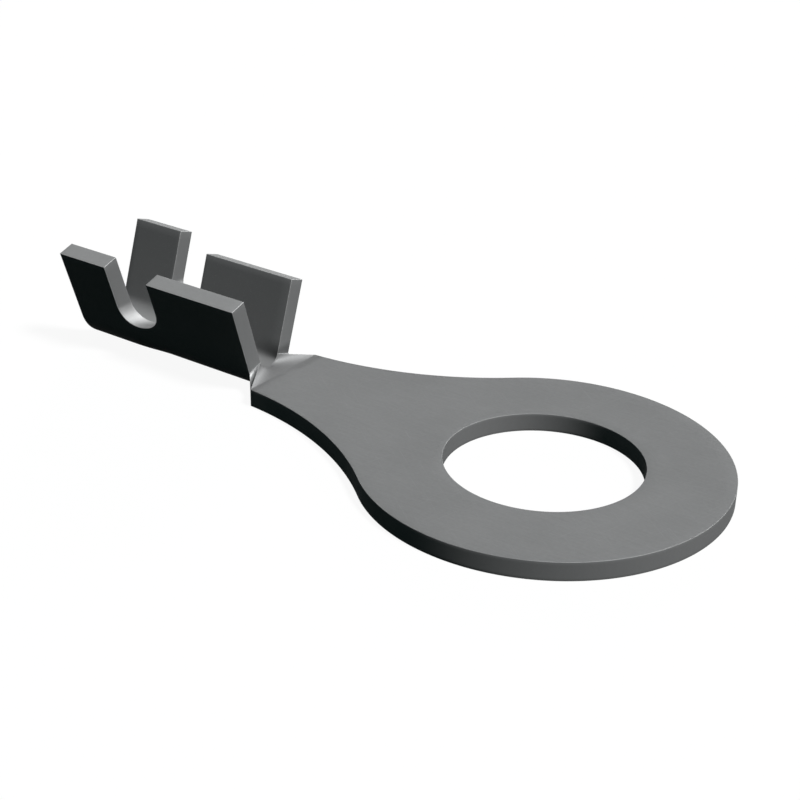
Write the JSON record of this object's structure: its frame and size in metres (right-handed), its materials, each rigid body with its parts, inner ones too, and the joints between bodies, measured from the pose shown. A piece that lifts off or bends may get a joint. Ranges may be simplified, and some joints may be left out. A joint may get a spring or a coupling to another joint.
{
  "type": "uninsulated ring terminal",
  "caption": "Uninsulated ring terminal pressed from sheet metal: a flat stud eye on a swept tongue, and an open folded barrel with crimp wings for the bare wire and for its jacket.",
  "frame": {"origin": "centre of the stud hole, on the underside of the ring", "axes": "+X along the terminal from the crimp barrel towards the ring, +Y across it, +Z out of the ring's upper face"},
  "size_m": [0.0326, 0.0158, 0.0051],
  "materials": {
    "plated_sheet": "dull grey plating over pressed sheet, with a fine rolling grain and plain cut edges"
  },
  "bodies": {
    "root": {"ring_terminal": "plated_sheet"}
  },
  "joints": []
}
